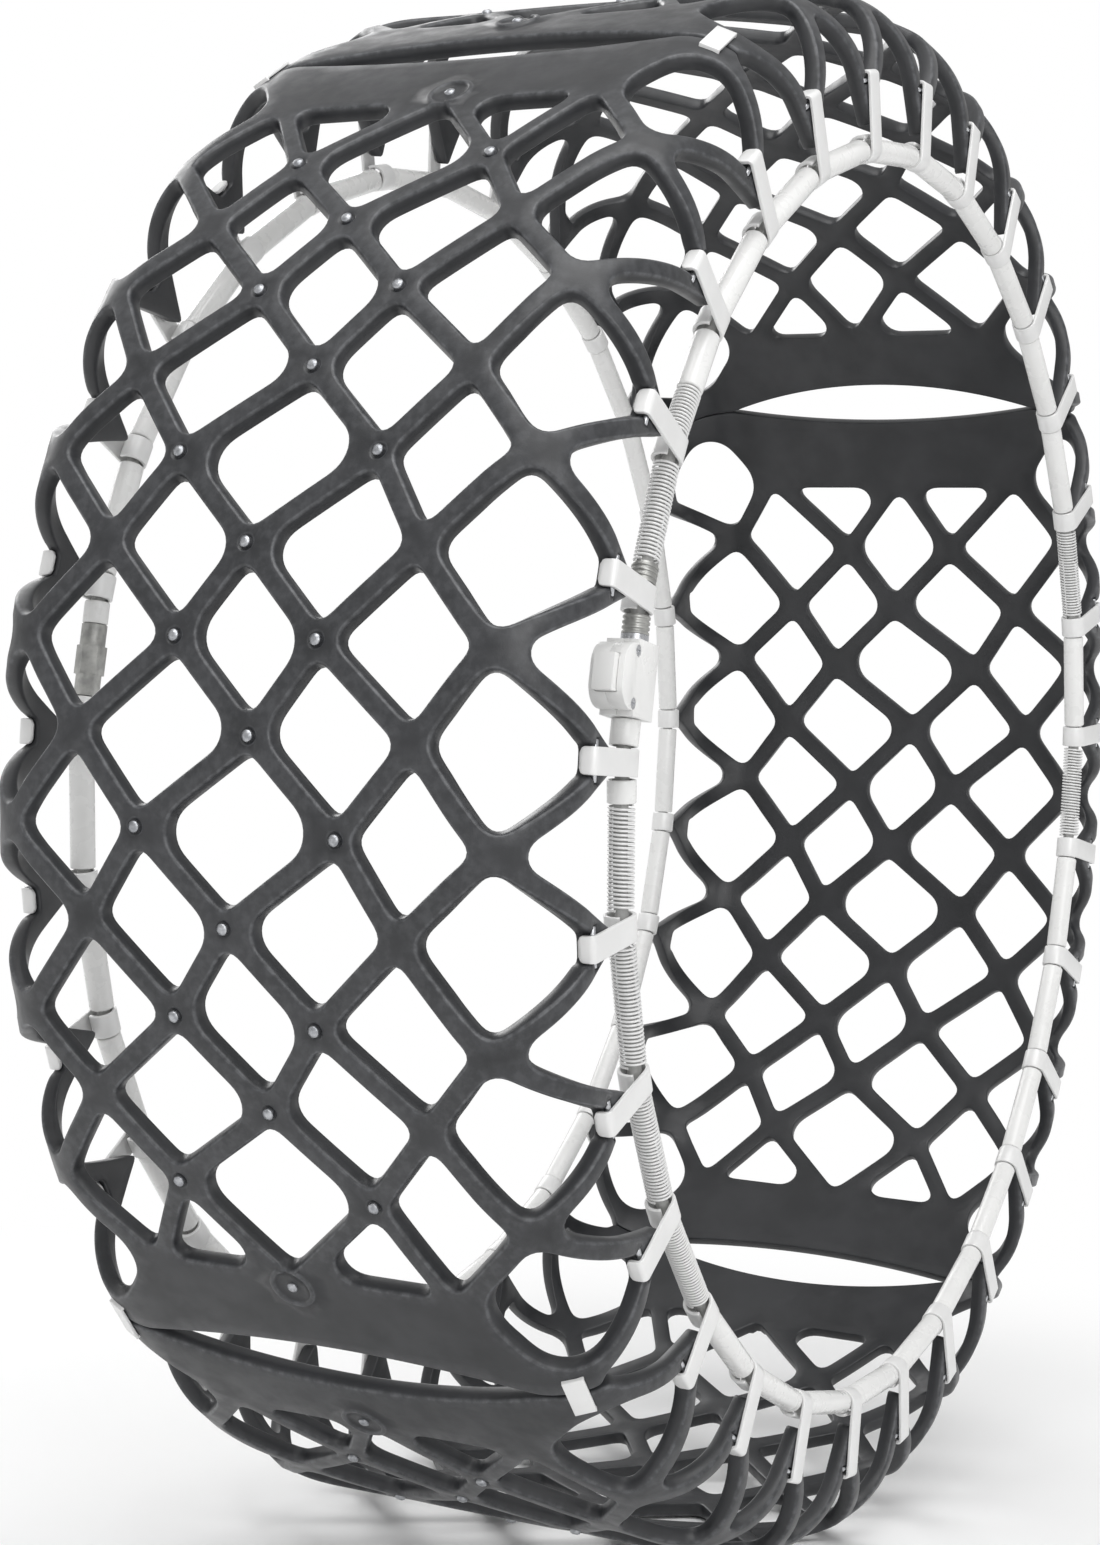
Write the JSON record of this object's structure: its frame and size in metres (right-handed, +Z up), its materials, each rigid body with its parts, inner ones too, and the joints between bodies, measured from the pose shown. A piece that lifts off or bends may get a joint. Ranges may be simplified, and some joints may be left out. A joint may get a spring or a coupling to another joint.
{
  "type": "tire snow chain",
  "caption": "Net-type tire snow chain: moulded rubber net with steel studs, hooked to a sprung side ring with a push-button lock, in the shape it takes on the tire.",
  "frame": {"origin": "centre of the tire, on the wheel axis and midway between the two side rings", "axes": "Y along the wheel axis, the side with the lock towards -Y; +Z up; the lock lies on the -X side"},
  "size_m": [0.721, 0.2627, 0.7205],
  "materials": {
    "rubber": "satin moulded",
    "stud_steel": "satin",
    "clip_metal": "white coated",
    "pin_steel": "satin",
    "cord": "matte",
    "sleeve_plastic": "gloss",
    "spring_steel": "white coated",
    "collar_metal": "satin ribbed",
    "hook_metal": "white coated",
    "lock_plastic": "semi-gloss"
  },
  "bodies": {
    "chain": {"net_panel_a": "rubber", "net_panel_b": "rubber", "net_panel_c": "rubber", "net_panel_d": "rubber", "ice_studs": "stud_steel", "panel_clips_outer": "clip_metal", "panel_clips_inner": "clip_metal", "outer_cross_pins": "pin_steel", "inner_cross_pins": "pin_steel", "outer_ring_cord": "cord", "outer_ring_sleeves": "sleeve_plastic", "outer_ring_springs": "spring_steel", "crimp_collars": "collar_metal", "socket_sleeves": "sleeve_plastic", "inner_ring_cable": "cord", "inner_ring_sleeves": "sleeve_plastic", "inner_coupler": "pin_steel", "inner_hooks": "hook_metal", "lock_back_shell": "lock_plastic", "lock_cover": "lock_plastic", "lock_screws": "pin_steel", "lock_plug": "pin_steel", "latch_spring": "spring_steel"},
    "latch": {"latch_plate": "pin_steel", "release_button": "lock_plastic"},
    "hook_00": {"hook_00": "hook_metal"},
    "hook_01": {"hook_01": "hook_metal"},
    "hook_02": {"hook_02": "hook_metal"},
    "hook_03": {"hook_03": "hook_metal"},
    "hook_04": {"hook_04": "hook_metal"},
    "hook_05": {"hook_05": "hook_metal"},
    "hook_06": {"hook_06": "hook_metal"},
    "hook_07": {"hook_07": "hook_metal"},
    "hook_08": {"hook_08": "hook_metal"},
    "hook_09": {"hook_09": "hook_metal"},
    "hook_10": {"hook_10": "hook_metal"},
    "hook_11": {"hook_11": "hook_metal"},
    "hook_12": {"hook_12": "hook_metal"},
    "hook_13": {"hook_13": "hook_metal"},
    "hook_14": {"hook_14": "hook_metal"},
    "hook_15": {"hook_15": "hook_metal"},
    "hook_16": {"hook_16": "hook_metal"},
    "hook_17": {"hook_17": "hook_metal"},
    "hook_18": {"hook_18": "hook_metal"},
    "hook_19": {"hook_19": "hook_metal"},
    "hook_20": {"hook_20": "hook_metal"},
    "hook_21": {"hook_21": "hook_metal"},
    "hook_22": {"hook_22": "hook_metal"},
    "hook_23": {"hook_23": "hook_metal"},
    "hook_24": {"hook_24": "hook_metal"},
    "hook_25": {"hook_25": "hook_metal"},
    "hook_26": {"hook_26": "hook_metal"},
    "hook_27": {"hook_27": "hook_metal"},
    "hook_28": {"hook_28": "hook_metal"}
  },
  "joints": [
    {"name": "release_press", "type": "slide", "parent": "chain", "child": "latch", "axis": [0.9941, 0, -0.1081], "range_m": [0, 0.0025], "stiffness_N_per_m": 800, "springref_m": -0.002, "deforming": ["latch_spring"]},
    {"name": "hook_00_swing", "type": "hinge", "parent": "chain", "child": "hook_00", "pos_m": [-0.287, -0.12465, 0], "axis": [0, 0, 1], "range_deg": [0, 75]},
    {"name": "hook_01_swing", "type": "hinge", "parent": "chain", "child": "hook_01", "pos_m": [-0.28029, -0.12465, 0.0617], "axis": [0.215, 0, 0.9766], "range_deg": [0, 75]},
    {"name": "hook_02_swing", "type": "hinge", "parent": "chain", "child": "hook_02", "pos_m": [-0.26047, -0.12465, 0.12051], "axis": [0.4199, 0, 0.9076], "range_deg": [0, 75]},
    {"name": "hook_03_swing", "type": "hinge", "parent": "chain", "child": "hook_03", "pos_m": [-0.22848, -0.12465, 0.17369], "axis": [0.6052, 0, 0.7961], "range_deg": [0, 75]},
    {"name": "hook_04_swing", "type": "hinge", "parent": "chain", "child": "hook_04", "pos_m": [-0.1858, -0.12465, 0.21874], "axis": [0.7622, 0, 0.6474], "range_deg": [0, 75]},
    {"name": "hook_05_swing", "type": "hinge", "parent": "chain", "child": "hook_05", "pos_m": [-0.13443, -0.12465, 0.25357], "axis": [0.8835, 0, 0.4684], "range_deg": [0, 75]},
    {"name": "hook_06_swing", "type": "hinge", "parent": "chain", "child": "hook_06", "pos_m": [-0.07678, -0.12465, 0.27654], "axis": [0.9635, 0, 0.2675], "range_deg": [0, 75]},
    {"name": "hook_07_swing", "type": "hinge", "parent": "chain", "child": "hook_07", "pos_m": [-0.01554, -0.12465, 0.28658], "axis": [0.9985, 0, 0.0541], "range_deg": [0, 75]},
    {"name": "hook_08_swing", "type": "hinge", "parent": "chain", "child": "hook_08", "pos_m": [0.04643, -0.12465, 0.28322], "axis": [0.9868, 0, -0.1618], "range_deg": [0, 75]},
    {"name": "hook_09_swing", "type": "hinge", "parent": "chain", "child": "hook_09", "pos_m": [0.10623, -0.12465, 0.26662], "axis": [0.929, 0, -0.3701], "range_deg": [0, 75]},
    {"name": "hook_10_swing", "type": "hinge", "parent": "chain", "child": "hook_10", "pos_m": [0.16106, -0.12465, 0.23755], "axis": [0.8277, 0, -0.5612], "range_deg": [0, 75]},
    {"name": "hook_11_swing", "type": "hinge", "parent": "chain", "child": "hook_11", "pos_m": [0.20836, -0.12465, 0.19737], "axis": [0.6877, 0, -0.726], "range_deg": [0, 75]},
    {"name": "hook_12_swing", "type": "hinge", "parent": "chain", "child": "hook_12", "pos_m": [0.24592, -0.12465, 0.14796], "axis": [0.5156, 0, -0.8569], "range_deg": [0, 75]},
    {"name": "hook_13_swing", "type": "hinge", "parent": "chain", "child": "hook_13", "pos_m": [0.27198, -0.12465, 0.09164], "axis": [0.3193, 0, -0.9477], "range_deg": [0, 75]},
    {"name": "hook_14_swing", "type": "hinge", "parent": "chain", "child": "hook_14", "pos_m": [0.28532, -0.12465, 0.03103], "axis": [0.1081, 0, -0.9941], "range_deg": [0, 75]},
    {"name": "hook_15_swing", "type": "hinge", "parent": "chain", "child": "hook_15", "pos_m": [0.28532, -0.12465, -0.03103], "axis": [-0.1081, 0, -0.9941], "range_deg": [0, 75]},
    {"name": "hook_16_swing", "type": "hinge", "parent": "chain", "child": "hook_16", "pos_m": [0.27198, -0.12465, -0.09164], "axis": [-0.3193, 0, -0.9477], "range_deg": [0, 75]},
    {"name": "hook_17_swing", "type": "hinge", "parent": "chain", "child": "hook_17", "pos_m": [0.24592, -0.12465, -0.14796], "axis": [-0.5156, 0, -0.8569], "range_deg": [0, 75]},
    {"name": "hook_18_swing", "type": "hinge", "parent": "chain", "child": "hook_18", "pos_m": [0.20836, -0.12465, -0.19737], "axis": [-0.6877, 0, -0.726], "range_deg": [0, 75]},
    {"name": "hook_19_swing", "type": "hinge", "parent": "chain", "child": "hook_19", "pos_m": [0.16106, -0.12465, -0.23755], "axis": [-0.8277, 0, -0.5612], "range_deg": [0, 75]},
    {"name": "hook_20_swing", "type": "hinge", "parent": "chain", "child": "hook_20", "pos_m": [0.10623, -0.12465, -0.26662], "axis": [-0.929, 0, -0.3701], "range_deg": [0, 75]},
    {"name": "hook_21_swing", "type": "hinge", "parent": "chain", "child": "hook_21", "pos_m": [0.04643, -0.12465, -0.28322], "axis": [-0.9868, 0, -0.1618], "range_deg": [0, 75]},
    {"name": "hook_22_swing", "type": "hinge", "parent": "chain", "child": "hook_22", "pos_m": [-0.01554, -0.12465, -0.28658], "axis": [-0.9985, 0, 0.0541], "range_deg": [0, 75]},
    {"name": "hook_23_swing", "type": "hinge", "parent": "chain", "child": "hook_23", "pos_m": [-0.07678, -0.12465, -0.27654], "axis": [-0.9635, 0, 0.2675], "range_deg": [0, 75]},
    {"name": "hook_24_swing", "type": "hinge", "parent": "chain", "child": "hook_24", "pos_m": [-0.13443, -0.12465, -0.25357], "axis": [-0.8835, 0, 0.4684], "range_deg": [0, 75]},
    {"name": "hook_25_swing", "type": "hinge", "parent": "chain", "child": "hook_25", "pos_m": [-0.1858, -0.12465, -0.21874], "axis": [-0.7622, 0, 0.6474], "range_deg": [0, 75]},
    {"name": "hook_26_swing", "type": "hinge", "parent": "chain", "child": "hook_26", "pos_m": [-0.22848, -0.12465, -0.17369], "axis": [-0.6052, 0, 0.7961], "range_deg": [0, 75]},
    {"name": "hook_27_swing", "type": "hinge", "parent": "chain", "child": "hook_27", "pos_m": [-0.26047, -0.12465, -0.12051], "axis": [-0.4199, 0, 0.9076], "range_deg": [0, 75]},
    {"name": "hook_28_swing", "type": "hinge", "parent": "chain", "child": "hook_28", "pos_m": [-0.28029, -0.12465, -0.0617], "axis": [-0.215, 0, 0.9766], "range_deg": [0, 75]}
  ]
}
